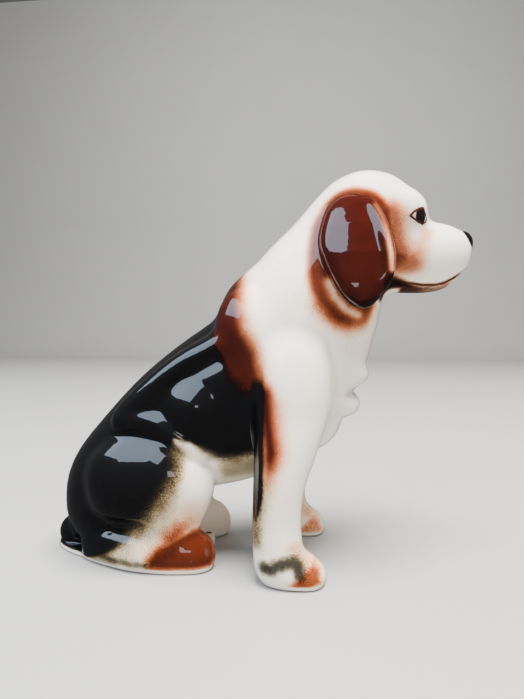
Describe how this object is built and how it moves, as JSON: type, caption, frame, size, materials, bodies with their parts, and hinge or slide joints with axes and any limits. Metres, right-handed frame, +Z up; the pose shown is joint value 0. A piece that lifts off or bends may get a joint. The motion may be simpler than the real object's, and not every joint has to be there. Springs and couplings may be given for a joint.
{
  "type": "ceramic dog figurine",
  "caption": "Seated hound figurine in glazed porcelain, with drop ears and raised head, that stands on its own flat seat and forepaws.",
  "frame": {"origin": "middle of the footprint box, on the surface the figurine stands on", "axes": "+X the way the dog faces, +Y its left side, +Z up"},
  "size_m": [0.0948, 0.0382, 0.0858],
  "materials": {
    "glazed_porcelain": "gloss",
    "black_glaze": "gloss",
    "russet_glaze": "gloss",
    "black_enamel": "gloss"
  },
  "bodies": {
    "root": {"torso": "black_glaze", "head": "glazed_porcelain", "left_ear": "russet_glaze", "right_ear": "russet_glaze", "left_foreleg": "glazed_porcelain", "right_foreleg": "glazed_porcelain", "left_hind_leg": "glazed_porcelain", "right_hind_leg": "glazed_porcelain", "tail": "black_glaze", "nose": "black_enamel", "left_eye": "black_enamel", "right_eye": "black_enamel"}
  },
  "joints": []
}
